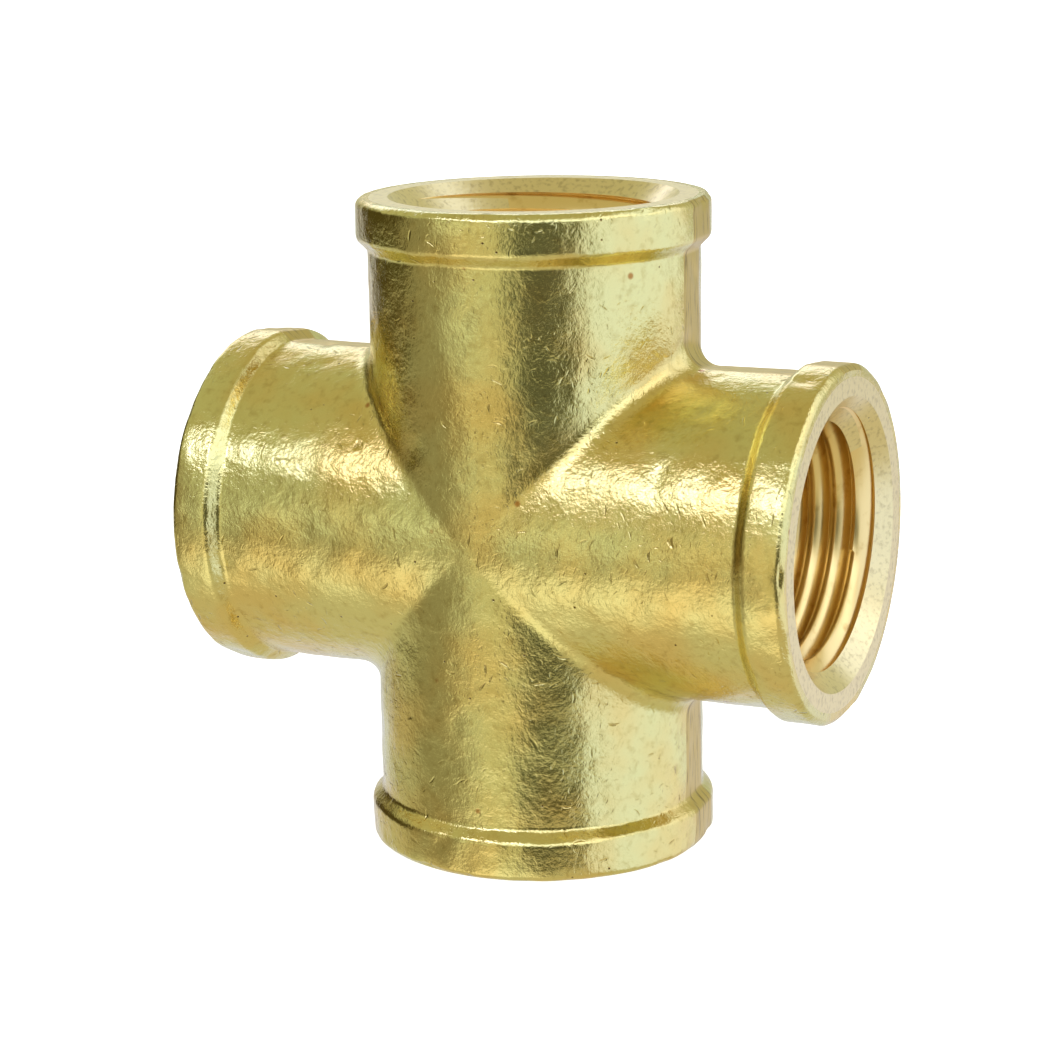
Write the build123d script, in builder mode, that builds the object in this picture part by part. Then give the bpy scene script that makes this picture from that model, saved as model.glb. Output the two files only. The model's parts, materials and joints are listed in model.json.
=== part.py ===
from build123d import *
import os
from math import radians, tan

# A pipe cross for 1/2-14 taper pipe thread: one brass forging with four equal banded arms, each
# faced, drilled to tapping size and countersunk. The thread itself lies in the wall outside the
# drilled hole and is not cut here. The origin is where the port axes cross. Two arms lie along X
# and two along Z, so Y is the thin direction. Millimetres.

# Forging
center_to_end = 25.7        # crossing of the axes to each machined end face
wall = 2.4                  # from the thread's root at the mouth to the outside of the arm
band_rise = 0.85            # how far a band stands out from its arm
band_width = 3.0            # along the arm, at the band's full diameter
shoulder_length = 1.2       # slope from the arm up to the band
shoulder_round = 1.0        # both bends of that slope
band_edge_round = 0.6       # outer corner of the band, at the end face
crotch_round = 1.8          # fillet where two arms meet

# Thread that each port is made for
pitch_diameter = 19.77      # at the mouth
thread_height = 1.45        # crest to root, square to the axis
drill_allowance = 0.03      # tapping drill below the thread's crest at the mouth, on the radius

# Port and flow passage
countersink_rise = 0.7      # mouth radius over the thread's root radius there
countersink_angle = 45      # from the axis
crossing_web = 0.6          # the drill stops this far short of the neighbouring ports' bores
passage_radius = 7.5        # way through the crossing
drill_point_angle = 59      # half angle of the drill's tip, which leaves the floor of each port

root_radius = (pitch_diameter + thread_height) / 2
drill_radius = (pitch_diameter - thread_height) / 2 - drill_allowance
arm_radius = root_radius + wall
band_radius = arm_radius + band_rise
band_start = center_to_end - band_width
mouth_radius = root_radius + countersink_rise
countersink_depth = (mouth_radius - drill_radius) / tan(radians(countersink_angle))
bore_floor = drill_radius + crossing_web
floor_rise = (drill_radius - passage_radius) / tan(radians(drill_point_angle))

# The four ports: each plane stands at the crossing and its normal points out of the port.
ports = [
    Plane(origin=(0, 0, 0), x_dir=(0, 1, 0), z_dir=outward)
    for outward in ((1, 0, 0), (0, 0, 1), (-1, 0, 0), (0, 0, -1))
]

# One arm of the forging, from the crossing up +Z to its end face, before any machining.
with BuildPart() as arm:
    with BuildSketch(Plane.XZ):
        with BuildLine():
            Polyline(
                (0, 0),
                (arm_radius, 0),
                (arm_radius, band_start - shoulder_length),
                (band_radius, band_start),
                (band_radius, center_to_end),
                (0, center_to_end),
                close=True,
            )
        make_face()
        shoulder_bends = vertices().filter_by_position(Axis.Y, band_start - shoulder_length, band_start)
        fillet(shoulder_bends, radius=shoulder_round)
        end_face_corner = vertices().group_by(Axis.Y)[-1].sort_by(Axis.X)[-1]
        fillet(end_face_corner, radius=band_edge_round)
    revolve(axis=Axis.Z)

# What the drill, its point and the countersink take out of one port, and the passage behind it.
with BuildPart() as port_bore:
    with BuildSketch(Plane.XZ):
        with BuildLine():
            Polyline(
                (0, 0),
                (passage_radius, 0),
                (passage_radius, bore_floor - floor_rise),
                (drill_radius, bore_floor),
                (drill_radius, center_to_end - countersink_depth),
                (mouth_radius, center_to_end),
                (0, center_to_end),
                close=True,
            )
        make_face()
    revolve(axis=Axis.Z)

with BuildPart() as cross_body:
    with Locations(*ports):
        add(arm.part)
    creases = edges().filter_by(GeomType.ELLIPSE)
    fillet(creases, radius=crotch_round)
    with Locations(*ports):
        add(port_bore.part, mode=Mode.SUBTRACT)

os.makedirs("parts", exist_ok=True)
cross_body.part.label = "cross_body"
export_step(cross_body.part, "parts/cross_body.step")
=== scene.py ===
import json
from math import atan2, cos, pi, radians, sin, tan

import bmesh
import bpy
import numpy as np
from bpy.props import FloatProperty, FloatVectorProperty, IntProperty, PointerProperty
from bpy.types import Operator, Panel, PropertyGroup
from mathutils import Matrix, Vector


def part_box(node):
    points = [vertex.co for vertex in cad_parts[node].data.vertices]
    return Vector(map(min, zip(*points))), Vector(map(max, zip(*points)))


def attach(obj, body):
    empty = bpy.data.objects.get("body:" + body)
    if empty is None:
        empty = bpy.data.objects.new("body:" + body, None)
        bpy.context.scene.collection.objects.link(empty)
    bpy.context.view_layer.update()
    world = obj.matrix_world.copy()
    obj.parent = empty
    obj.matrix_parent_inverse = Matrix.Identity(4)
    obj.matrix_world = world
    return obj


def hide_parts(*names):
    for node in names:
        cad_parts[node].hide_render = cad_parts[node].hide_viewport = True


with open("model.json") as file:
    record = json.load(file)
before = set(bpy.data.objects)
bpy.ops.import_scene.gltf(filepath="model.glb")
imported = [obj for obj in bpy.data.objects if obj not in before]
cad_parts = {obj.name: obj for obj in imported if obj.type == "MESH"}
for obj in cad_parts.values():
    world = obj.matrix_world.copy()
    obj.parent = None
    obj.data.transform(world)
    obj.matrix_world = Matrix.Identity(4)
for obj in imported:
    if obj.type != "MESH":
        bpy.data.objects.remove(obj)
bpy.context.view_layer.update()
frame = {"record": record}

bl_info = {
    "name": "Brass Pipe Cross",
    "version": (1, 0, 0),
    "blender": (4, 5, 0),
    "location": "3D View > Sidebar > Pipe Cross",
    "description": "A forged brass pipe cross with four taper-threaded ports, and a studio to show it in",
    "category": "Add Mesh",
}

MM = 0.001
SENSOR_WIDTH = 36.0
BODY = "cross_body"
LOW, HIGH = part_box(BODY)
TOP_PORT = next(mount for mount in frame["record"]["mounts"] if mount["name"] == "port_top")

# Faces of the body by how each was made, in the order of its material slots.
FORGED, SHEARED, TURNED, TAPPED, DRILLED = range(5)

# Points this near each other are one, and an edge this short is none.
SAME_POINT, NO_LENGTH = 0.0005 * MM, 0.0002 * MM

# Angles this near each other are one, and a divisor is never less than the second.
SAME_ANGLE, LEAST = 1e-6, 1e-9

# Edges that turn by more than this are sharp: on the whole body, and between two faces of a thread.
SHARP, THREAD_SHARP = radians(27), radians(70)


def linear(hex_colour):
    """An sRGB hex colour as linear red, green, blue and an alpha of 1."""
    channels = [int(hex_colour[start:start + 2], 16) / 255 for start in (1, 3, 5)]
    return [c / 12.92 if c <= 0.04045 else ((c + 0.055) / 1.055) ** 2.4 for c in channels] + [1.0]


def length_property(name, description, default):
    """A size in metres."""
    return FloatProperty(name=name, description=description, default=default, unit="LENGTH", precision=5)


def angle_property(name, description, default):
    """An angle whose default is given in degrees."""
    return FloatProperty(name=name, description=description, default=radians(default), unit="ROTATION")


def colour_property(name, description, default):
    """A colour whose default is given in sRGB hex."""
    return FloatVectorProperty(
        name=name, description=description, default=linear(default), size=4, subtype="COLOR", min=0, max=1
    )


class ForgingSizes(PropertyGroup):
    """The outside of the forging."""

    center_to_end: length_property("Centre to end", "Crossing of the axes to each end face", HIGH.x)
    band_radius: length_property("Band radius", "Outside of the band round each end", HIGH.y)
    arm_radius: length_property("Arm radius", "Outside of each arm behind its band", 13.01 * MM)
    band_width: length_property("Band width", "Length of a band at its full diameter", 3.15 * MM)
    shoulder_length: length_property("Shoulder length", "Slope from the arm up to the band", 0.85 * MM)
    shoulder_crease: length_property("Shoulder crease", "Radius of the bend from arm to shoulder", 0.5 * MM)
    shoulder_round: length_property("Shoulder round", "Radius of the bend from shoulder to band", 0.8 * MM)
    band_edge_round: length_property("Band edge round", "Outer corner of a band, at the end face", 0.6 * MM)
    crotch_round: length_property("Crotch round", "Fillet where two arms meet", 1.8 * MM)
    waviness: length_property("Waviness", "Depth of the unevenness from the die and tumbling", 0.035 * MM)
    dent_depth: length_property("Dent depth", "Deepest knock taken in the tumbling barrel", 0.11 * MM)
    dents: IntProperty(name="Dents", description="Number of knocks on the whole skin", default=180, min=0)
    nicks: IntProperty(name="Nicks", description="Number of knocks on the bands' corners", default=150, min=0)
    flash_start: angle_property("Flash start", "Front edge of the sheared flash strip on an arm", -1.8)
    flash_end: angle_property("Flash end", "Rear edge of the sheared flash strip on an arm", 12.6)


class PortSizes(PropertyGroup):
    """One port: countersink, taper thread, tapping hole and the passage behind it."""

    mouth_radius: length_property("Mouth radius", "Outer edge of the countersink", 11.31 * MM)
    drill_radius: length_property("Tapping radius", "Wall of the tapping hole", TOP_PORT["dims"]["r_mm"] * MM)
    countersink_angle: angle_property("Countersink", "Angle of its wall from the port's axis", 45)
    thread_pitch: length_property("Thread pitch", "14 threads to the inch", 25.4 / 14 * MM)
    root_radius: length_property("Thread root radius", "Bottom of the thread at the mouth", 10.45 * MM)
    root_flat: length_property("Root flat", "Width of the thread's blunt bottom", 0.06 * MM)
    taper: FloatProperty(name="Taper", description="Fall of the radius per length, 1 in 32", default=1 / 32)
    flank_angle: angle_property("Flank", "Angle of each thread flank from square to the axis", 30)
    first_groove: length_property("First groove", "Its depth where a port's turn begins", 1.75 * MM)
    thread_end: length_property("Thread end", "Depth at which the thread has run out", 14.2 * MM)
    run_out: length_property("Run-out", "Length over which the thread fades away", 2.6 * MM)
    bore_floor: length_property("Bore floor", "Crossing of the axes to the tapping hole's end", 9.73 * MM)
    passage_radius: length_property("Passage radius", "Way through the crossing", 7.5 * MM)
    drill_point: angle_property("Drill point", "Half angle of the drill's tip", 59)


class BrassColours(PropertyGroup):
    """What each finish of the same brass reflects."""

    forged: colour_property("Forged", "Tumbled skin of the forging", "#E5DD98")
    forged_warm: colour_property("Forged, warm", "Patches of the skin that are more golden", "#E9CF82")
    sheared: colour_property("Sheared", "Strip where the flash was cut off", "#D6BD70")
    turned: colour_property("Turned", "Faced ends and countersinks", "#F3E2AC")
    tapped: colour_property("Tapped", "Thread flanks", "#F8DC98")
    drilled: colour_property("Drilled", "Passages behind the threads", "#DDBB77")
    film: colour_property("Film", "Thin olive film in the hollows of the skin", "#A98F3E")
    tarnish: colour_property("Tarnish", "Brown in pits and strokes", "#6E5222")
    stain: colour_property("Stain", "Orange-brown spots", "#A8661F")


class StudioSettings(PropertyGroup):
    """Where the camera stands, and how the studio around the object looks."""

    azimuth: angle_property("Azimuth", "Camera's turn from the front towards the right port", 25.598)
    elevation: angle_property("Elevation", "Camera's height above the horizontal", 13.164)
    roll: angle_property("Roll", "Camera's turn about its own line of sight", -0.9415)
    distance: length_property("Distance", "Camera to the crossing of the axes", 219.93 * MM)
    focal_length: FloatProperty(name="Focal length", description="For a sensor 36 mm wide", default=94.82)
    shift_x: FloatProperty(name="Shift X", description="Sideways shift, in frame widths", default=-0.01299)
    shift_y: FloatProperty(name="Shift Y", description="Upward shift, in frame widths", default=-0.00779)
    floor: colour_property("Floor", "Pale matte floor", "#F2F1EE")
    floor_glow: FloatProperty(name="Floor glow", description="Light through the floor", default=0.85, min=0)


# Shapes


def smooth(t):
    """0 below 0 and 1 above 1, with an even S between: 3t squared less 2t cubed."""
    t = np.clip(t, 0, 1)
    return t * t * (3 - 2 * t)


def rounded_outline(corners, radii, bend_steps, run_steps):
    """Points and outward normals along straight runs joined by arcs.

    A corner's arc begins its radius times tan(half the turn) before the corner. Its points lie on
    a circle of that radius, at equal angles, and the normal turns with them. Runs are divided evenly.
    """
    corners = [np.array(corner, float) for corner in corners]
    points, normals = [corners[0]], []
    for before, corner, after, radius in zip(corners, corners[1:], corners[2:], radii):
        ahead = (corner - before) / np.linalg.norm(corner - before)
        turn = atan2(*np.subtract(after, corner)[::-1]) - atan2(*ahead[::-1])
        turn = (turn + pi) % (2 * pi) - pi
        side = np.array([-ahead[1], ahead[0]]) * np.sign(turn)
        start = corner - ahead * radius * tan(abs(turn) / 2)
        angles = np.linspace(0, abs(turn), bend_steps + 1)[:, None]
        arc = start + radius * (ahead * np.sin(angles) + side * (1 - np.cos(angles)))
        run = np.linspace(points[-1], start, run_steps + 1)[1:-1]
        normal = np.array([ahead[1], -ahead[0]])
        if not normals:
            normals.append(normal)
        normals += [normal] * len(run)
        normals += list(normal * np.cos(angles) + ahead * np.sign(turn) * np.sin(angles))
        points += list(run) + list(arc)
    last = np.linspace(points[-1], corners[-1], run_steps + 1)[1:]
    normals += [normals[-1]] * len(last)
    return np.array(points + list(last)), np.array(normals)


def stack(*blocks):
    """Blocks of rows, one after another along the first axis."""
    return np.concatenate(blocks)


def in_arm(radius, along, turns):
    """Radius and distance along an arm, for each turn about its axis, as points (side, thin, along)."""
    angle = 2 * pi * turns
    return np.stack(np.broadcast_arrays(radius * np.cos(angle), radius * np.sin(angle), along), -1)


def barrel_rows(forging, shoulder_start, turns, rows):
    """The crotch fillet and the plain barrel of one arm, from the mitre with its neighbours to the shoulder.

    A ball of the crotch radius rolls along both arms: its centre is on the arm's cylinder grown by that
    radius, as far along the arm as it is to the side. The fillet is the ball's arc from the mitre, where
    its normal lies half way between the two arms' normals, to where the ball touches this arm. From there
    the barrel runs straight on. Rows are spaced evenly along that whole way.
    """
    angle = 2 * pi * turns
    ball, side, thin = forging.crotch_round, np.cos(angle), np.sin(angle)
    own = np.stack([side, thin, 0 * side], -1)
    neighbour = np.stack([0 * side, thin, np.abs(side)], -1)
    half = np.arccos(np.clip(thin * thin, -1, 1)) / 2
    middle = own + neighbour
    middle /= np.linalg.norm(middle, axis=-1, keepdims=True)
    centre = (forging.arm_radius + ball) * (own + neighbour * [0, 0, 1])
    touch = (forging.arm_radius + ball) * np.abs(side)
    fillet_length = ball * half
    way = np.linspace(0, 1, rows)[:, None] * (fillet_length + shoulder_start - touch)
    share = np.clip(way / np.maximum(fillet_length, LEAST), 0, 1)
    # Where the arms run flush into each other, half is nothing and the normals are mixed evenly.
    flush = half <= SAME_ANGLE
    opening = np.maximum(np.sin(half), LEAST)
    from_middle = np.where(flush, 1 - share, np.sin((1 - share) * half) / opening)
    from_own = np.where(flush, share, np.sin(share * half) / opening)
    normals = from_middle[..., None] * middle + from_own[..., None] * own
    points = centre - ball * normals
    points[..., 2] += np.maximum(way - fillet_length, 0)
    return points, normals, share


def flash_cut(forging, turns):
    """How much of the radius the shearing of the flash leaves, for each turn about an arm.

    The strip is a flat chord across the round arm: cos(half its angle) / cos(angle from its middle).
    It lies on both sides of the arm, behind the parting plane.
    """
    angle = 2 * pi * turns
    middle = (forging.flash_end + forging.flash_start) / 2
    half = (forging.flash_end - forging.flash_start) / 2
    off = np.abs(np.arctan2(np.sin(angle), np.abs(np.cos(angle))) - middle)
    return np.where(off <= half + SAME_ANGLE, cos(half) / np.cos(np.minimum(off, half)), 1.0)


def thread_rows(port, center_to_end, turns):
    """Radius and depth of the threaded wall, four rows for each groove.

    A groove's middle lies pitch x (groove number - turn) below the first one, so that it climbs out to the
    right like a right-hand thread. Its bottom is the taper's radius there, less what the run-out takes, and
    its flanks fall to both sides by length / tan(flank). The rows stand where the near flank comes out of
    the countersink or the tapping hole, at both ends of the flat bottom, and where the far flank goes in.
    """
    slope = 1 / tan(port.flank_angle)
    cone = tan(port.countersink_angle)
    depth_end = center_to_end - port.bore_floor
    count = int(depth_end / port.thread_pitch) + 2
    groove = np.arange(count)[:, None]
    middle = port.first_groove + port.thread_pitch * (groove - turns)
    fade = smooth((port.thread_end - middle) / port.run_out)
    bottom = port.drill_radius + (port.root_radius - port.taper * middle - port.drill_radius) * fade
    near, far = middle - port.root_flat / 2, middle + port.root_flat / 2
    over_hole = (bottom - port.drill_radius) / slope
    leaves = np.maximum(near - over_hole, (port.mouth_radius - bottom + near * slope) / (cone + slope))
    enters = np.minimum(far + over_hole, (bottom - port.mouth_radius + far * slope) / (slope - cone))
    gone = leaves > enters
    leaves, enters = np.where(gone, middle, leaves), np.where(gone, middle, enters)
    near, far = np.clip(near, leaves, enters), np.clip(far, leaves, enters)
    depth = np.clip(np.stack([leaves, near, far, enters], 1).reshape(-1, len(turns)), 0, depth_end)
    wall = np.maximum(port.drill_radius, port.mouth_radius - depth * cone)
    bottom, middle = np.repeat(bottom, 4, 0), np.repeat(middle, 4, 0)
    below = np.maximum(np.abs(depth - middle) - port.root_flat / 2, 0)
    return np.maximum(wall, bottom - below * slope), depth


def waves(points, wavelengths, count, seed):
    """A smooth uneven height between about -1 and 1: cosines in random directions and phases, added up.

    Their sum is divided by 1.6 times its usual size.
    """
    rng = np.random.default_rng(seed)
    directions = rng.normal(size=(count, 3))
    directions /= np.linalg.norm(directions, axis=1, keepdims=True)
    directions *= 2 * pi / rng.uniform(*wavelengths, size=(count, 1))
    phases = rng.uniform(0, 2 * pi, count)
    return np.cos(points @ directions.T + phases).sum(-1) * (2 / count) ** 0.5 / 1.6


def knocks(points, normals, skin, depth, count, seed):
    """Depth of the knocks at each point: each is a bent oval, exp(-(along/length)^2 - (across/width)^2).

    A knock's middle is a random point of the skin and its length lies at random across the surface.
    across is bent by the square of along, which makes the crescents that edges of other parts leave.
    """
    rng = np.random.default_rng(seed)
    candidates = np.flatnonzero(skin.ravel())
    flat_points, flat_normals = points.reshape(-1, 3), normals.reshape(-1, 3)
    total = np.zeros(len(flat_points))
    for pick in rng.choice(candidates, count):
        middle, normal = flat_points[pick], flat_normals[pick]
        along = np.cross(normal, rng.normal(size=3))
        along /= np.linalg.norm(along)
        across = np.cross(normal, along)
        length, width = rng.uniform(0.7, 1.8) * MM, rng.uniform(0.5, 0.9) * MM
        from_middle = flat_points - middle
        u = from_middle @ along / length
        v = from_middle @ across / width - rng.uniform(0.2, 0.8) * u * u
        through = from_middle @ normal / (2 * width)
        total += depth * rng.uniform(0.2, 1) * np.exp(-u * u - v * v - through * through)
    return total.reshape(skin.shape)


def arm_sheet(forging, port, turns):
    """One arm as rows of points round its axis, from the outer mitre over the end face to the inner mitre.

    Returns the points, the skin's outward normals, each row's share of skin, the finish of each face,
    and 1 for each row at the bottom of the thread.
    """
    run_steps = 4
    slope_turn = atan2(forging.band_radius - forging.arm_radius, forging.shoulder_length)
    band_start = forging.center_to_end - forging.band_width
    shoulder_start = band_start - forging.shoulder_length
    barrel_end = shoulder_start - 1.5 * forging.shoulder_crease * tan(slope_turn / 2)
    barrel, barrel_normals, share = barrel_rows(forging, barrel_end, turns, rows=44)
    outline, outline_normals = rounded_outline(
        [
            (forging.arm_radius, barrel_end),
            (forging.arm_radius, shoulder_start),
            (forging.band_radius, band_start),
            (forging.band_radius, forging.center_to_end),
            (port.mouth_radius, forging.center_to_end),
        ],
        radii=[forging.shoulder_crease, forging.shoulder_round, forging.band_edge_round],
        bend_steps=5,
        run_steps=run_steps,
    )
    outline, outline_normals = outline[1:], outline_normals[1:]
    face_rows = run_steps
    band = in_arm(outline[:, :1], outline[:, 1:], turns)
    band_normals = in_arm(outline_normals[:, :1], outline_normals[:, 1:], turns)
    # The skin's unevenness fades out round the corner at the end face, because the face is turned flat.
    skin = stack(np.ones(len(barrel)), smooth(outline_normals[:, 0] * 1.6))
    skin[-face_rows:] = 0

    # The flash strip is cut into the fillet too, half as deep again at the mitre.
    cut = flash_cut(forging, turns)
    bulge = 1 + (1 - share) / 2
    sunk = forging.arm_radius * (1 - cut) * bulge
    barrel = barrel - barrel_normals * sunk[..., None]
    band[:-face_rows, :, :2] *= (1 - (1 - cut) * skin[len(barrel):-face_rows, None])[..., None]

    radius, depth = thread_rows(port, forging.center_to_end, turns)
    thread = in_arm(radius, forging.center_to_end - depth, turns)
    floor_rise = (port.drill_radius - port.passage_radius) / tan(port.drill_point)
    mitre = port.passage_radius * np.abs(np.cos(2 * pi * turns))
    passage_start = port.bore_floor - floor_rise
    floor = in_arm(port.drill_radius, np.array([[port.bore_floor]]), turns)
    passage = in_arm(
        port.passage_radius, passage_start + (mitre - passage_start) * np.linspace(0, 1, 6)[:, None], turns
    )
    passage = stack(floor, passage)
    points = stack(barrel, band, thread, passage)
    normals = stack(barrel_normals, band_normals, 0 * thread, 0 * passage)
    skin = stack(skin, np.zeros(len(thread) + len(passage)))

    counts = [len(barrel) + len(band) - face_rows, face_rows, len(thread), len(passage) - 1]
    finish = np.repeat([FORGED, TURNED, TAPPED, DRILLED], counts)[:, None] + np.zeros(len(turns) - 1, int)
    finish[:counts[0] - 1, (cut[1:] < 1) | (cut[:-1] < 1)] = SHEARED
    # Faces between the thread's grooves that still lie on the countersink are turned, not tapped.
    cone_fall = depth * tan(port.countersink_angle)
    at_cone = radius + cone_fall <= port.mouth_radius + NO_LENGTH
    on_cone = at_cone & (cone_fall < port.mouth_radius - port.drill_radius)
    cone_faces = (on_cone[1:] & on_cone[:-1])[:, 1:]
    first = counts[0] + face_rows
    finish[first:first + len(cone_faces)][cone_faces] = TURNED
    at_bottom = stack(0 * skin[:first], np.tile([0, 1, 1, 0], len(thread) // 4), np.zeros(len(passage)))
    return points, normals, skin, finish, at_bottom


def grid_faces(rows, columns):
    """Corner numbers of the quads of a grid of points, numbered row by row, facing out."""
    corner = np.arange((rows - 1) * columns).reshape(rows - 1, columns)[:, :-1].ravel()
    return np.stack([corner, corner + 1, corner + columns + 1, corner + columns], 1)


def add_piece(name, points, faces, finish, lay, materials):
    """A mesh object of these points and quads, its doubles merged, each face with its finish.

    lay holds each point's distance from its port's axis and along it, for patterns that follow tools,
    and then 1 where the point is at the bottom of the thread.
    """
    mesh = bpy.data.meshes.new(name)
    mesh.from_pydata(points.tolist(), [], faces.tolist())
    mesh.polygons.foreach_set("material_index", finish.astype(np.int32))
    mesh.polygons.foreach_set("use_smooth", np.ones(len(faces), bool))
    pattern = mesh.attributes.new("lay", "FLOAT_VECTOR", "POINT")
    pattern.data.foreach_set("vector", lay.astype(np.float32).ravel())
    shape = bmesh.new()
    shape.from_mesh(mesh)
    bmesh.ops.remove_doubles(shape, verts=shape.verts, dist=SAME_POINT)
    bmesh.ops.dissolve_degenerate(shape, edges=shape.edges, dist=NO_LENGTH)
    lay_of = shape.verts.layers.float_vector["lay"]
    for edge in shape.edges:
        one, other = edge.link_faces
        # Thread crests stay smooth, because a tap leaves them slightly round. Their bottoms are keen.
        limit = THREAD_SHARP if one.material_index == TAPPED else SHARP
        bottom = min(vert[lay_of].z for vert in edge.verts) > 0.5
        same = one.material_index == other.material_index
        edge.smooth = same and not bottom and edge.calc_face_angle(0) < limit
    shape.to_mesh(mesh)
    shape.free()
    for material in materials:
        mesh.materials.append(material)
    piece = bpy.data.objects.new(name, mesh)
    bpy.context.collection.objects.link(piece)
    return piece


class PIPECROSS_OT_body(Operator):
    """Add the forged cross with its four faced, countersunk and threaded ports"""

    bl_idname = "pipe_cross.body"
    bl_label = "Cross body"

    def execute(self, context):
        forging, port = context.scene.pipe_cross_forging, context.scene.pipe_cross_port
        columns = 201
        turns = np.linspace(0, 1, columns)
        sheet, sheet_normals, skin, finish, at_bottom = arm_sheet(forging, port, turns)
        # Each arm is the upright one turned about Y by a quarter more than the one before.
        quarter = np.array([[0, 0, 1], [0, 1, 0], [-1, 0, 0]])
        turned = [np.linalg.matrix_power(quarter, arm).T for arm in range(4)]
        points = np.stack([sheet @ turn for turn in turned])
        normals = np.stack([sheet_normals @ turn for turn in turned])
        weight = np.broadcast_to(skin[:, None], points.shape[:3])
        uneven = forging.waviness * (waves(points, (5 * MM, 14 * MM), 30, seed=3) - 1)
        ripple = forging.waviness * 0.6 * (waves(points, (2.2 * MM, 5 * MM), 40, seed=5) - 1)
        plain = weight > 0.99
        dents = knocks(points, normals, plain, forging.dent_depth, forging.dents, seed=11)
        # Other parts strike the corner at the end face most often.
        corner = (weight > 0.2) & ~plain
        nicks = knocks(points, normals, corner, forging.dent_depth, forging.nicks, seed=12)
        points = points + normals * (weight * (uneven + ripple - dents - nicks))[..., None]

        bottom = np.broadcast_to(at_bottom[:, None], sheet.shape[:2])
        lay = np.stack([np.hypot(sheet[..., 0], sheet[..., 1]), sheet[..., 2], bottom], -1)
        rows = len(sheet)
        faces = grid_faces(rows, columns)
        all_faces = np.concatenate([faces + arm * rows * columns for arm in range(4)])
        piece = add_piece(
            "forged_cross",
            points.reshape(-1, 3),
            all_faces,
            np.tile(finish.ravel(), 4),
            np.tile(lay.reshape(-1, 3), (4, 1)),
            brass_materials(context.scene.pipe_cross_colours),
        )
        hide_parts(BODY)
        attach(piece, "root")
        return {"FINISHED"}


# Materials

# Sockets of a Mix node that mixes colours: its two colours and its result.
UNDER, OVER, MIXED = 6, 7, 2


def add_node(tree, kind, inputs=(), **settings):
    """Add a node with its settings, and fill each input with a value or link it to another node's output."""
    node = tree.nodes.new(kind)
    for name, value in settings.items():
        setattr(node, name, value)
    for key, value in dict(inputs).items():
        if isinstance(value, bpy.types.NodeSocket):
            tree.links.new(value, node.inputs[key])
        else:
            node.inputs[key].default_value = value
    return node


def start_material(name):
    """An empty material and its node tree, with a surface shader of bare metal wired to the output."""
    material = bpy.data.materials.new(name)
    material.use_nodes = True
    tree = material.node_tree
    tree.nodes.clear()
    shader = add_node(tree, "ShaderNodeBsdfPrincipled", {"Metallic": 1.0, "Roughness": 0.2})
    add_node(tree, "ShaderNodeOutputMaterial", {"Surface": shader.outputs["BSDF"]})
    return material, tree, shader


def tumbling_marks(tree, place, cell, length, width, bend):
    """Height of short strokes left by other parts in the tumbling barrel, 1 along a stroke and 0 off it.

    Space is cut into cells, each with one thin disc turned at random, which meets the skin in a line.
    The disc is bent, so that the line is a shallow crescent.
    """
    cells = add_node(tree, "ShaderNodeTexVoronoi", {"Vector": place, "Scale": 1 / cell, "Randomness": 1.0})
    local = add_node(
        tree, "ShaderNodeVectorMath", {0: place, 1: cells.outputs["Position"]}, operation="SUBTRACT"
    )
    angles = add_node(
        tree, "ShaderNodeVectorMath", {0: cells.outputs["Color"], "Scale": 2 * pi}, operation="SCALE"
    )
    turned = add_node(
        tree,
        "ShaderNodeVectorRotate",
        {"Vector": local.outputs[0], "Rotation": angles.outputs[0]},
        rotation_type="EULER_XYZ",
    )
    sized = add_node(
        tree,
        "ShaderNodeVectorMath",
        {0: turned.outputs[0], 1: (1 / length, 1 / length, 1 / width)},
        operation="MULTIPLY",
    )
    parts = add_node(tree, "ShaderNodeSeparateXYZ", {0: sized.outputs[0]})
    along = parts.outputs[0]
    square = add_node(tree, "ShaderNodeMath", {0: along, 1: along}, operation="MULTIPLY")
    bent = add_node(
        tree,
        "ShaderNodeMath",
        {0: square.outputs[0], 1: -bend * length / width, 2: parts.outputs[2]},
        operation="MULTIPLY_ADD",
    )
    joined = add_node(tree, "ShaderNodeCombineXYZ", {0: along, 1: parts.outputs[1], 2: bent.outputs[0]})
    reach = add_node(tree, "ShaderNodeVectorMath", {0: joined.outputs[0]}, operation="LENGTH")
    stroke = add_node(
        tree,
        "ShaderNodeMapRange",
        {"Value": reach.outputs["Value"], "From Min": 1.0, "From Max": 0.2, "To Min": 0.0, "To Max": 1.0},
        interpolation_type="SMOOTHSTEP",
    )
    return stroke.outputs[0]


def spots(tree, place, cell, size, share):
    """1 inside round spots of this size and 0 outside: one spot in a share of cells of this width."""
    cells = add_node(tree, "ShaderNodeTexVoronoi", {"Vector": place, "Scale": 1 / cell, "Randomness": 1.0})
    near = add_node(
        tree,
        "ShaderNodeMapRange",
        {"Value": cells.outputs["Distance"], "From Min": size / cell, "From Max": 0.4 * size / cell},
        interpolation_type="SMOOTHSTEP",
    )
    lot = add_node(tree, "ShaderNodeSeparateColor", {0: cells.outputs["Color"]})
    chosen = add_node(tree, "ShaderNodeMath", {0: lot.outputs[0], 1: share}, operation="LESS_THAN")
    both = add_node(tree, "ShaderNodeMath", {0: near.outputs[0], 1: chosen.outputs[0]}, operation="MULTIPLY")
    return both.outputs[0]


def clouds(tree, place, size, low, high, detail=3.0):
    """A soft uneven mask between 0 and 1: noise of this patch size, from its low value to its high one."""
    noise = add_node(tree, "ShaderNodeTexNoise", {"Vector": place, "Scale": 1 / size, "Detail": detail})
    mask = add_node(
        tree,
        "ShaderNodeMapRange",
        {"Value": noise.outputs["Fac"], "From Min": low, "From Max": high},
        interpolation_type="SMOOTHSTEP",
    )
    return mask.outputs[0]


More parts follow.
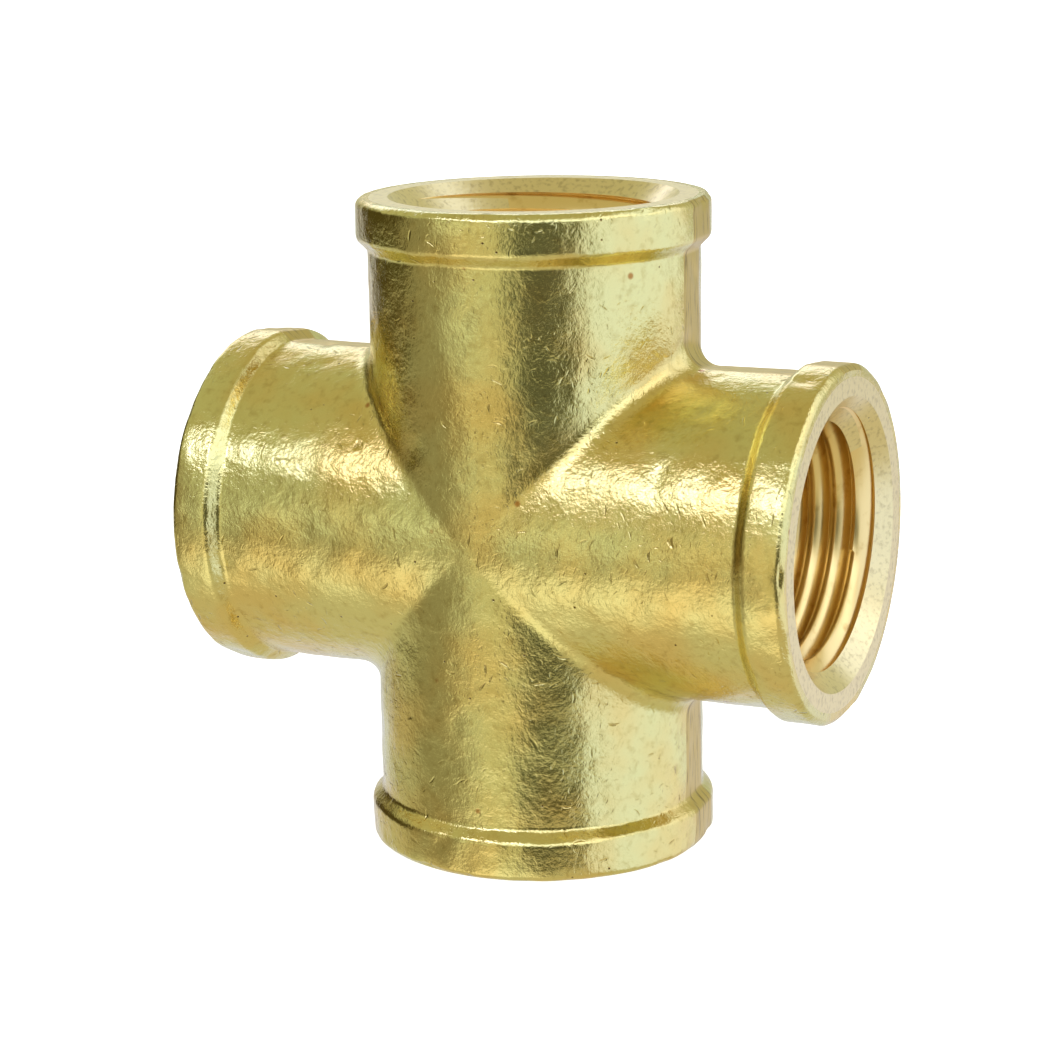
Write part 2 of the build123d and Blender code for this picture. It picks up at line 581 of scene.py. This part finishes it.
def forged_brass(colours):
    """Hot-forged leaded brass, descaled and barrel tumbled.

    To the eye it is a bright greenish-yellow metal with soft-edged reflections, broken by a fine
    grain, by hundreds of short crescent scratches and by small dark pits and brown spots.
    """
    material, tree, shader = start_material("tumbled_forged_brass")
    place = add_node(tree, "ShaderNodeTexCoord").outputs["Object"]
    patches = clouds(tree, place, 7 * MM, 0.35, 0.68)
    mixed = {"Factor": patches, UNDER: tuple(colours.forged), OVER: tuple(colours.forged_warm)}
    tone = add_node(tree, "ShaderNodeMix", mixed, data_type="RGBA").outputs[MIXED]
    film = clouds(tree, place, 0.7 * MM, 0.48, 0.78, detail=6.0)
    film = add_node(tree, "ShaderNodeMath", {0: film, 1: 0.33}, operation="MULTIPLY")
    mixed = {"Factor": film.outputs[0], UNDER: tone, OVER: tuple(colours.film)}
    tone = add_node(tree, "ShaderNodeMix", mixed, data_type="RGBA").outputs[MIXED]
    busy = clouds(tree, place, 6 * MM, 0.34, 0.64)

    # The grain is drawn coarser than the real 0.05 mm, and the strokes wider, so that both can be seen.
    noise = {"Vector": place, "Scale": 1 / (0.3 * MM), "Detail": 4.0, "Roughness": 0.6}
    grain = add_node(tree, "ShaderNodeTexNoise", noise)
    raised = {"Height": grain.outputs["Fac"], "Distance": 0.038 * MM}
    surface = add_node(tree, "ShaderNodeBump", raised)
    swell = add_node(tree, "ShaderNodeTexNoise", {"Vector": place, "Scale": 1 / (1.4 * MM), "Detail": 2.0})
    raised = {"Height": swell.outputs["Fac"], "Distance": 0.08 * MM, "Normal": surface.outputs[0]}
    surface = add_node(tree, "ShaderNodeBump", raised)
    for cell, length, width, bend, depth, residue in (
        (0.42 * MM, 0.2 * MM, 0.065 * MM, 0.2, -0.010 * MM, 0.08),
        (0.8 * MM, 0.32 * MM, 0.08 * MM, 0.3, -0.019 * MM, 0.18),
        (1.8 * MM, 0.6 * MM, 0.115 * MM, 0.3, -0.05 * MM, 0.28),
    ):
        strokes = tumbling_marks(tree, place, cell, length, width, bend)
        worn = add_node(tree, "ShaderNodeMath", {0: strokes, 1: busy}, operation="MULTIPLY")
        raised = {"Height": worn.outputs[0], "Distance": depth, "Normal": surface.outputs[0]}
        surface = add_node(tree, "ShaderNodeBump", raised)
        dark = add_node(tree, "ShaderNodeMath", {0: worn.outputs[0], 1: residue}, operation="MULTIPLY")
        mixed = {"Factor": dark.outputs[0], UNDER: tone, OVER: tuple(colours.tarnish)}
        tone = add_node(tree, "ShaderNodeMix", mixed, data_type="RGBA").outputs[MIXED]

    pits = spots(tree, place, 1.1 * MM, 0.12 * MM, 0.14)
    stains = spots(tree, place, 3.6 * MM, 0.36 * MM, 0.22)
    faded = add_node(tree, "ShaderNodeMath", {0: stains, 1: 0.8}, operation="MULTIPLY")
    mixed = {"Factor": pits, UNDER: tone, OVER: tuple(colours.tarnish)}
    tone = add_node(tree, "ShaderNodeMix", mixed, data_type="RGBA").outputs[MIXED]
    mixed = {"Factor": faded.outputs[0], UNDER: tone, OVER: tuple(colours.stain)}
    tone = add_node(tree, "ShaderNodeMix", mixed, data_type="RGBA").outputs[MIXED]
    tree.links.new(tone, shader.inputs["Base Color"])
    raised = {"Height": pits, "Distance": -0.03 * MM, "Normal": surface.outputs[0]}
    surface = add_node(tree, "ShaderNodeBump", raised)
    tree.links.new(surface.outputs[0], shader.inputs["Normal"])

    rough = clouds(tree, place, 9 * MM, 0.35, 0.7, detail=2.0)
    polish = add_node(tree, "ShaderNodeMapRange", {"Value": rough, "To Min": 0.13, "To Max": 0.22})
    tree.links.new(polish.outputs[0], shader.inputs["Roughness"])
    return material


def sheared_brass(colours):
    """The strip where a trimming die sheared off the flash: dull tan metal with dark lengthwise tears."""
    material, tree, shader = start_material("sheared_flash_brass")
    shader.inputs["Roughness"].default_value = 0.32
    place = add_node(tree, "ShaderNodeTexCoord").outputs["Object"]
    squeezed = add_node(tree, "ShaderNodeVectorMath", {0: place, 1: (0.25, 2.2, 0.25)}, operation="MULTIPLY")
    tears = clouds(tree, squeezed.outputs[0], 0.6 * MM, 0.5, 0.75, detail=4.0)
    faint = add_node(tree, "ShaderNodeMath", {0: tears, 1: 0.75}, operation="MULTIPLY")
    mixed = {"Factor": faint.outputs[0], UNDER: tuple(colours.sheared), OVER: tuple(colours.tarnish)}
    tone = add_node(tree, "ShaderNodeMix", mixed, data_type="RGBA").outputs[MIXED]
    tree.links.new(tone, shader.inputs["Base Color"])
    raised = {"Height": tears, "Distance": -0.03 * MM, "Strength": 0.6}
    surface = add_node(tree, "ShaderNodeBump", raised)
    tree.links.new(surface.outputs[0], shader.inputs["Normal"])
    return material


def tool_rings(tree, spacing, along_axis):
    """Noise that changes only with the distance from the port's axis, or only along it, as a tool cuts."""
    lay = add_node(tree, "ShaderNodeAttribute", attribute_name="lay")
    parts = add_node(tree, "ShaderNodeSeparateXYZ", {0: lay.outputs["Vector"]})
    across = parts.outputs[1] if along_axis else parts.outputs[0]
    scaled = add_node(tree, "ShaderNodeMath", {0: across, 1: 1 / spacing}, operation="MULTIPLY")
    noise = {"W": scaled.outputs[0], "Scale": 1.0, "Detail": 3.0}
    rings = add_node(tree, "ShaderNodeTexNoise", noise, noise_dimensions="1D")
    return rings.outputs["Fac"]


def turned_brass(colours):
    """Brass faced on a lathe: pale and bright, with faint rings round the port and a few pits."""
    material, tree, shader = start_material("turned_brass")
    shader.inputs["Roughness"].default_value = 0.3
    place = add_node(tree, "ShaderNodeTexCoord").outputs["Object"]
    pits = spots(tree, place, 0.9 * MM, 0.1 * MM, 0.22)
    clustered = add_node(
        tree, "ShaderNodeMath", {0: pits, 1: clouds(tree, place, 5 * MM, 0.44, 0.58)}, operation="MULTIPLY"
    )
    mixed = {"Factor": clustered.outputs[0], UNDER: tuple(colours.turned), OVER: tuple(colours.tarnish)}
    tone = add_node(tree, "ShaderNodeMix", mixed, data_type="RGBA").outputs[MIXED]
    grit = clouds(tree, place, 0.4 * MM, 0.46, 0.74, detail=5.0)
    thin = add_node(tree, "ShaderNodeMath", {0: grit, 1: 0.3}, operation="MULTIPLY")
    mixed = {"Factor": thin.outputs[0], UNDER: tone, OVER: tuple(colours.tarnish)}
    tone = add_node(tree, "ShaderNodeMix", mixed, data_type="RGBA").outputs[MIXED]
    tree.links.new(tone, shader.inputs["Base Color"])
    # The feed marks are drawn wider than the real 0.1 mm so that they can be seen.
    raised = {"Height": tool_rings(tree, 0.22 * MM, False), "Distance": 0.006 * MM, "Strength": 0.7}
    surface = add_node(tree, "ShaderNodeBump", raised)
    grain = add_node(tree, "ShaderNodeTexNoise", {"Vector": place, "Scale": 1 / (0.35 * MM), "Detail": 3.0})
    below = surface.outputs[0]
    raised = {"Height": grain.outputs["Fac"], "Distance": 0.022 * MM, "Strength": 0.7, "Normal": below}
    surface = add_node(tree, "ShaderNodeBump", raised)
    raised = {"Height": clustered.outputs[0], "Distance": -0.03 * MM, "Normal": surface.outputs[0]}
    surface = add_node(tree, "ShaderNodeBump", raised)
    tree.links.new(surface.outputs[0], shader.inputs["Normal"])
    return material


def tapped_brass(colours):
    """Thread flanks cut by a tap: pale gold, with faint drag lines that follow the thread."""
    material, tree, shader = start_material("tapped_brass")
    shader.inputs["Roughness"].default_value = 0.3
    raised = {"Height": tool_rings(tree, 0.18 * MM, False), "Distance": 0.006 * MM, "Strength": 0.6}
    surface = add_node(tree, "ShaderNodeBump", raised)
    place = add_node(tree, "ShaderNodeTexCoord").outputs["Object"]
    grain = add_node(tree, "ShaderNodeTexNoise", {"Vector": place, "Scale": 1 / (0.6 * MM), "Detail": 3.0})
    below = surface.outputs[0]
    raised = {"Height": grain.outputs["Fac"], "Distance": 0.012 * MM, "Strength": 0.6, "Normal": below}
    surface = add_node(tree, "ShaderNodeBump", raised)
    tree.links.new(surface.outputs[0], shader.inputs["Normal"])
    darker = clouds(tree, place, 1.5 * MM, 0.55, 0.75)
    mixed = {"Factor": darker, UNDER: tuple(colours.tapped), OVER: tuple(colours.drilled)}
    tone = add_node(tree, "ShaderNodeMix", mixed, data_type="RGBA").outputs[MIXED]
    tree.links.new(tone, shader.inputs["Base Color"])
    return material


def drilled_brass(colours):
    """Passages left as drilled: darker gold with coarse rings."""
    material, tree, shader = start_material("drilled_brass")
    shader.inputs["Roughness"].default_value = 0.38
    shader.inputs["Base Color"].default_value = tuple(colours.drilled)
    raised = {"Height": tool_rings(tree, 0.3 * MM, True), "Distance": 0.015 * MM, "Strength": 0.7}
    surface = add_node(tree, "ShaderNodeBump", raised)
    tree.links.new(surface.outputs[0], shader.inputs["Normal"])
    return material


def brass_materials(colours):
    """The body's materials, in the order of its finishes."""
    makers = {
        FORGED: forged_brass,
        SHEARED: sheared_brass,
        TURNED: turned_brass,
        TAPPED: tapped_brass,
        DRILLED: drilled_brass,
    }
    return [makers[finish](colours) for finish in sorted(makers)]


# Studio

# Light of the tent's wall: height from 0, straight down, to 1, straight up, and linear red, green, blue.
TENT = (
    (0.0, (0.66, 0.60, 0.42)),
    (0.42, (0.57, 0.56, 0.40)),
    (0.56, (0.60, 0.63, 0.46)),
    (0.8, (0.54, 0.53, 0.32)),
    (1.0, (0.50, 0.46, 0.25)),
)

# Panels hung in the tent, the later over the earlier. Azimuth from the camera's side and positive to its
# right, elevation, width and height in degrees, softness of the edges, and linear red, green, blue.
PANELS = (
    # Behind and to the right of the object, seen in the end faces, ports and shoulders.
    (180, -30, 74, 50, 0.20, (0.78, 0.80, 0.90)),
    (-170, 25, 40, 12, 0.04, (2.00, 2.10, 2.70)),
    (130, -22, 40, 24, 0.10, (0.85, 0.85, 0.95)),
    # To the left: dim walls, and the brighter ones below the key.
    (-80, -6, 44, 48, 0.20, (0.32, 0.29, 0.18)),
    (-122, 4, 58, 34, 0.07, (0.08, 0.065, 0.02)),
    (-31, -6, 26, 50, 0.08, (0.68, 0.64, 0.42)),
    (-48, 0, 20, 7, 0.04, (1.15, 1.22, 1.05)),
    (-38, -38, 42, 24, 0.10, (1.20, 1.13, 0.92)),
    # To the right: the wide soft side light, and one above it.
    (76, -6, 84, 60, 0.14, (0.98, 1.08, 1.32)),
    (100, 34, 44, 50, 0.10, (1.15, 1.25, 1.50)),
    # In front: the fill overhead, the dark gap round the camera, and a light high on the right.
    (8, 30, 66, 24, 0.05, (1.60, 1.70, 2.00)),
    (5, -5, 44, 34, 0.06, (0.11, 0.11, 0.07)),
    (64, 42, 40, 26, 0.06, (1.50, 1.55, 1.75)),
    # The key, high on the left.
    (-43, 36.5, 31, 8.5, 0.04, (4.80, 5.00, 7.40)),
)


def heading(azimuth, elevation):
    """Unit vector from the object: azimuth 0 is the front, -Y, and grows towards +X; elevation is up."""
    return Vector((sin(azimuth) * cos(elevation), -cos(azimuth) * cos(elevation), sin(elevation)))


def light_panel(tree, direction, surroundings, front, azimuth, elevation, width, height, softness, colour):
    """Hang a flat panel of light in the surroundings.

    Its middle is at that azimuth from the front and that elevation. A direction meets the panel at
    (direction . side, direction . up) / (direction . middle), and the panel shows where both are within
    tan(half its angle), fading by its softness.
    """
    middle = heading(front + radians(azimuth), radians(elevation))
    side = Vector((cos(front + radians(azimuth)), sin(front + radians(azimuth)), 0))
    up = side.cross(-middle)
    ahead = add_node(tree, "ShaderNodeVectorMath", {0: direction, 1: middle}, operation="DOT_PRODUCT")
    mask = add_node(tree, "ShaderNodeMath", {0: ahead.outputs["Value"], 1: 0.02}, operation="GREATER_THAN")
    for axis, angle in ((side, width), (up, height)):
        edge = tan(radians(angle / 2))
        off = add_node(tree, "ShaderNodeVectorMath", {0: direction, 1: axis}, operation="DOT_PRODUCT")
        meets = add_node(
            tree, "ShaderNodeMath", {0: off.outputs["Value"], 1: ahead.outputs["Value"]}, operation="DIVIDE"
        )
        distance = add_node(tree, "ShaderNodeMath", {0: meets.outputs[0]}, operation="ABSOLUTE")
        within = add_node(
            tree,
            "ShaderNodeMapRange",
            {"Value": distance.outputs[0], "From Min": edge + softness, "From Max": edge - softness},
            interpolation_type="SMOOTHSTEP",
        )
        mask = add_node(
            tree, "ShaderNodeMath", {0: mask.outputs[0], 1: within.outputs[0]}, operation="MULTIPLY"
        )
    inputs = {"Factor": mask.outputs[0], UNDER: surroundings, OVER: (*colour, 1.0)}
    return add_node(tree, "ShaderNodeMix", inputs, data_type="RGBA").outputs[MIXED]


def add_surroundings(scene, front):
    """A light tent round the object with its panels. The camera itself sees plain white."""
    world = bpy.data.worlds.new("light_tent")
    scene.world = world
    world.use_nodes = True
    tree = world.node_tree
    tree.nodes.clear()
    direction = add_node(tree, "ShaderNodeTexCoord").outputs["Generated"]
    height = add_node(tree, "ShaderNodeSeparateXYZ", {0: direction})
    climb = add_node(
        tree, "ShaderNodeMapRange", {"Value": height.outputs[2], "From Min": -1.0, "From Max": 1.0}
    )
    tent = add_node(tree, "ShaderNodeValToRGB", {"Fac": climb.outputs[0]})
    stops = tent.color_ramp.elements
    for stop, (position, colour) in zip(stops, (TENT[0], TENT[-1])):
        stop.position = position
        stop.color = (*colour, 1)
    for position, colour in TENT[1:-1]:
        stops.new(position).color = (*colour, 1)
    light = tent.outputs[0]
    for panel in PANELS:
        light = light_panel(tree, direction, light, front, *panel)
    rays = add_node(tree, "ShaderNodeLightPath")
    inputs = {"Factor": rays.outputs["Is Camera Ray"], UNDER: light, OVER: (1.0, 1.0, 1.0, 1.0)}
    seen = add_node(tree, "ShaderNodeMix", inputs, data_type="RGBA").outputs[MIXED]
    background = add_node(tree, "ShaderNodeBackground", {"Color": seen, "Strength": 1.0})
    add_node(tree, "ShaderNodeOutputWorld", {"Surface": background.outputs[0]})


def add_floor(studio, height):
    """A round pale floor under the object, wide enough to fill the view. Reflections don't show it."""
    innermost, reach, rings, spokes = 0.02, 6.0, 12, 48
    radius = np.geomspace(innermost, reach, rings)[:, None]
    angle = np.linspace(0, 2 * pi, spokes, endpoint=False)
    points = np.stack(np.broadcast_arrays(radius * np.cos(angle), radius * np.sin(angle), height), -1)
    corner = (np.arange(rings - 1)[:, None] * spokes + np.arange(spokes)).ravel()
    across = (np.arange(rings - 1)[:, None] * spokes + (np.arange(spokes) + 1) % spokes).ravel()
    quads = np.stack([corner, corner + spokes, across + spokes, across], 1).tolist()
    mesh = bpy.data.meshes.new("floor")
    mesh.from_pydata(points.reshape(-1, 3).tolist(), [], quads + [list(range(spokes))])
    floor = bpy.data.objects.new("floor", mesh)
    bpy.context.collection.objects.link(floor)
    floor.visible_glossy = False
    material, tree, shader = start_material("matte_floor")
    shader.inputs["Metallic"].default_value = 0.0
    shader.inputs["Roughness"].default_value = 0.9
    place = add_node(tree, "ShaderNodeTexCoord").outputs["Object"]
    patches = clouds(tree, place, 0.4, 0.3, 0.7)
    inputs = {"Factor": patches, UNDER: tuple(studio.floor), OVER: (0.88, 0.88, 0.87, 1.0)}
    tone = add_node(tree, "ShaderNodeMix", inputs, data_type="RGBA").outputs[MIXED]
    tree.links.new(tone, shader.inputs["Base Color"])
    shader.inputs["Emission Color"].default_value = (1.0, 1.0, 1.0, 1.0)
    shader.inputs["Emission Strength"].default_value = studio.floor_glow
    mesh.materials.append(material)


def add_camera(scene, studio):
    """A camera that looks at the crossing of the axes, turned by its roll, with the frame's small shift."""
    lens = bpy.data.cameras.new("camera")
    lens.sensor_width = SENSOR_WIDTH
    lens.lens = studio.focal_length
    lens.shift_x = studio.shift_x
    lens.shift_y = studio.shift_y
    lens.clip_start, lens.clip_end = 0.01, 100.0
    camera = bpy.data.objects.new("camera", lens)
    scene.collection.objects.link(camera)
    away = heading(studio.azimuth, studio.elevation)
    right = Vector((0, 0, 1)).cross(away).normalized()
    turned = Matrix.Rotation(studio.roll, 3, away) @ Matrix((right, away.cross(right), away)).transposed()
    camera.matrix_world = Matrix.Translation(away * studio.distance) @ turned.to_4x4()
    scene.camera = camera


class PIPECROSS_OT_studio(Operator):
    """Add the floor, the light tent and the camera"""

    bl_idname = "pipe_cross.studio"
    bl_label = "Studio"

    def execute(self, context):
        scene, studio = context.scene, context.scene.pipe_cross_studio
        add_surroundings(scene, studio.azimuth)
        # The floor lies a hair below the lower end face, so that the two don't share a plane.
        add_floor(studio, LOW.z - 0.02 * MM)
        add_camera(scene, studio)
        scene.view_settings.view_transform = "Standard"
        return {"FINISHED"}


class PIPECROSS_PT_panel(Panel):
    """Sizes, colours and buttons for the pipe cross"""

    bl_idname = "PIPECROSS_PT_panel"
    bl_label = "Pipe Cross"
    bl_space_type = "VIEW_3D"
    bl_region_type = "UI"
    bl_category = "Pipe Cross"

    def draw(self, context):
        scene = context.scene
        body_groups = (scene.pipe_cross_forging, scene.pipe_cross_port, scene.pipe_cross_colours)
        sections = ((PIPECROSS_OT_body, body_groups), (PIPECROSS_OT_studio, (scene.pipe_cross_studio,)))
        for operator, groups in sections:
            box = self.layout.box()
            for group in groups:
                for name in group.bl_rna.properties.keys():
                    if name not in ("rna_type", "name"):
                        box.prop(group, name)
            box.operator(operator.bl_idname)


GROUPS = {
    "pipe_cross_forging": ForgingSizes,
    "pipe_cross_port": PortSizes,
    "pipe_cross_colours": BrassColours,
    "pipe_cross_studio": StudioSettings,
}
CLASSES = (*GROUPS.values(), PIPECROSS_OT_body, PIPECROSS_OT_studio, PIPECROSS_PT_panel)


def register():
    for cls in CLASSES:
        bpy.utils.register_class(cls)
    for name, group in GROUPS.items():
        setattr(bpy.types.Scene, name, PointerProperty(type=group))


def unregister():
    for name in GROUPS:
        delattr(bpy.types.Scene, name)
    for cls in reversed(CLASSES):
        bpy.utils.unregister_class(cls)


def main():
    """Build everything in order."""
    register()
    bpy.ops.pipe_cross.body()
    bpy.ops.pipe_cross.studio()


if __name__ == "__main__":
    main()
